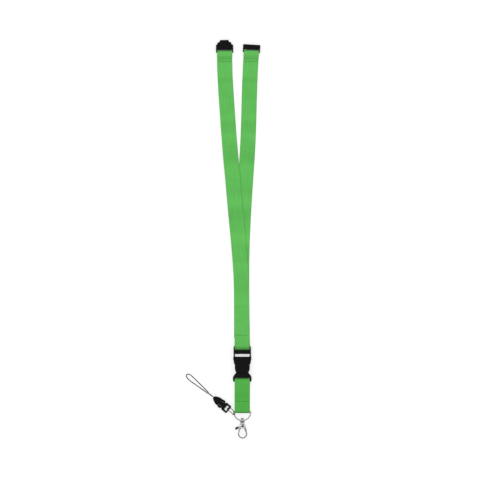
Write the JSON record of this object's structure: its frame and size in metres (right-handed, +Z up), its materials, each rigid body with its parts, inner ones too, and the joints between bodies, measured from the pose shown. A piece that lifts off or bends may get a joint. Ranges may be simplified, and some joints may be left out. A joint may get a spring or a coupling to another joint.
{
  "type": "lanyard badge holder",
  "caption": "Flat webbing neck lanyard with a breakaway clasp, a side-release buckle, a D-ring, a swivel snap hook and a detachable phone cord loop.",
  "frame": {"origin": "on the surface that the lanyard lies on, under the middle of the main buckle's face, at the middle of its width", "axes": "+Y runs along the lanyard towards the neck end, +Z is up from the surface, +X is to the right when it is seen from above with the hook nearest"},
  "size_m": [0.0981, 0.5261, 0.0076],
  "materials": {
    "webbing": "woven polyester, matt",
    "thread": "polyester sewing thread",
    "plastic": "moulded acetal, satin",
    "nickel": "nickel plate, bright",
    "dark_metal": "dark nickel, satin",
    "cord": "braided polyester cord"
  },
  "bodies": {
    "neck_strap": {"left_leg_webbing": "webbing", "right_leg_webbing": "webbing", "left_leg_stitching": "thread", "right_leg_stitching": "thread", "junction_stitching": "thread"},
    "left_clasp_half": {"breakaway_plug": "plastic"},
    "right_clasp_half": {"breakaway_socket": "plastic"},
    "upper_buckle": {"buckle_socket": "plastic"},
    "lower_buckle": {"buckle_plug": "plastic"},
    "left_latch": {"buckle_left_arm": "plastic"},
    "right_latch": {"buckle_right_arm": "plastic"},
    "strap_end": {"lower_strap_webbing": "webbing", "lower_strap_stitching": "thread"},
    "ring": {"d_ring": "nickel", "cord_hitch": "cord"},
    "eye": {"swivel_eye": "nickel", "swivel_rivet": "nickel"},
    "hook": {"hook_body": "nickel", "gate_pin": "nickel", "gate_spring": "dark_metal"},
    "gate": {"hook_gate": "dark_metal"},
    "hitch": {"hitch_cord": "cord"},
    "phone_top": {"phone_socket": "plastic"},
    "phone_end": {"phone_plug": "plastic", "cord_sleeve": "cord", "phone_cord_loop": "cord"},
    "phone_left_latch": {"phone_left_arm": "plastic"},
    "phone_right_latch": {"phone_right_arm": "plastic"}
  },
  "joints": [
    {"name": "left_clasp_tilt", "type": "hinge", "parent": "neck_strap", "child": "left_clasp_half", "pos_m": [-0.02328, 0.4105, 0.003], "axis": [1, 0.0041, 0], "range_deg": [0, 70]},
    {"name": "right_clasp_tilt", "type": "hinge", "parent": "neck_strap", "child": "right_clasp_half", "pos_m": [0.01203, 0.4108, 0.003], "axis": [0.9984, -0.0564, 0], "range_deg": [0, 70]},
    {"name": "buckle_tilt", "type": "hinge", "parent": "neck_strap", "child": "upper_buckle", "pos_m": [0, 0.0194, 0.0038], "axis": [-1, 0, 0], "range_deg": [0, 60]},
    {"name": "buckle_release", "type": "slide", "parent": "upper_buckle", "child": "lower_buckle", "axis": [0, -1, 0], "range_m": [0, 0.024], "deforming": ["buckle_left_arm", "buckle_right_arm"]},
    {"name": "left_latch_press", "type": "hinge", "parent": "lower_buckle", "child": "left_latch", "pos_m": [-0.0064, -0.014, 0.0038], "axis": [0, 0, -1], "range_deg": [0, 11], "stiffness_Nm_per_rad": 0.02},
    {"name": "right_latch_press", "type": "hinge", "parent": "lower_buckle", "child": "right_latch", "pos_m": [0.0064, -0.014, 0.0038], "axis": [0, 0, 1], "range_deg": [0, 11], "stiffness_Nm_per_rad": 0.02},
    {"name": "strap_tilt", "type": "hinge", "parent": "lower_buckle", "child": "strap_end", "pos_m": [0, -0.0221, 0.0038], "axis": [-1, 0, 0], "range_deg": [0, 70]},
    {"name": "ring_tilt", "type": "hinge", "parent": "strap_end", "child": "ring", "pos_m": [0, -0.064, 0.0028], "axis": [-1, 0, 0], "range_deg": [0, 95]},
    {"name": "eye_swing", "type": "hinge", "parent": "ring", "child": "eye", "pos_m": [0, -0.0759, 0.0028], "axis": [-1, 0, 0], "range_deg": [0, 60]},
    {"name": "hook_swivel", "type": "hinge", "parent": "eye", "child": "hook", "pos_m": [0, -0.0782, 0.003], "axis": [0, -1, 0], "continuous": true},
    {"name": "gate_open", "type": "hinge", "parent": "hook", "child": "gate", "pos_m": [-0.0012, -0.0836, 0.003], "axis": [0, 0, 1], "range_deg": [0, 26], "stiffness_Nm_per_rad": 0.002, "deforming": ["gate_spring"]},
    {"name": "hitch_turn", "type": "hinge", "parent": "ring", "child": "hitch", "pos_m": [-0.01081, -0.0673, 0.0028], "axis": [-1, 0, 0], "range_deg": [-95, 0]},
    {"name": "phone_buckle_tilt", "type": "hinge", "parent": "hitch", "child": "phone_top", "pos_m": [-0.01849, -0.06129, 0.0025], "axis": [0.6468, 0.7627, 0], "range_deg": [0, 70]},
    {"name": "phone_buckle_release", "type": "slide", "parent": "phone_top", "child": "phone_end", "axis": [-0.7627, 0.6468, 0], "range_m": [0, 0.009], "deforming": ["phone_left_arm", "phone_right_arm"]},
    {"name": "phone_left_latch_press", "type": "hinge", "parent": "phone_end", "child": "phone_left_latch", "pos_m": [-0.02765, -0.04828, 0.0025], "axis": [0, 0, -1], "range_deg": [0, 8], "stiffness_Nm_per_rad": 0.002},
    {"name": "phone_right_latch_press", "type": "hinge", "parent": "phone_end", "child": "phone_right_latch", "pos_m": [-0.03282, -0.05438, 0.0025], "axis": [0, 0, 1], "range_deg": [0, 8], "stiffness_Nm_per_rad": 0.002}
  ],
  "couplings": [
    {"joint": "hitch_turn", "follows": "ring_tilt", "ratio": -1}
  ]
}
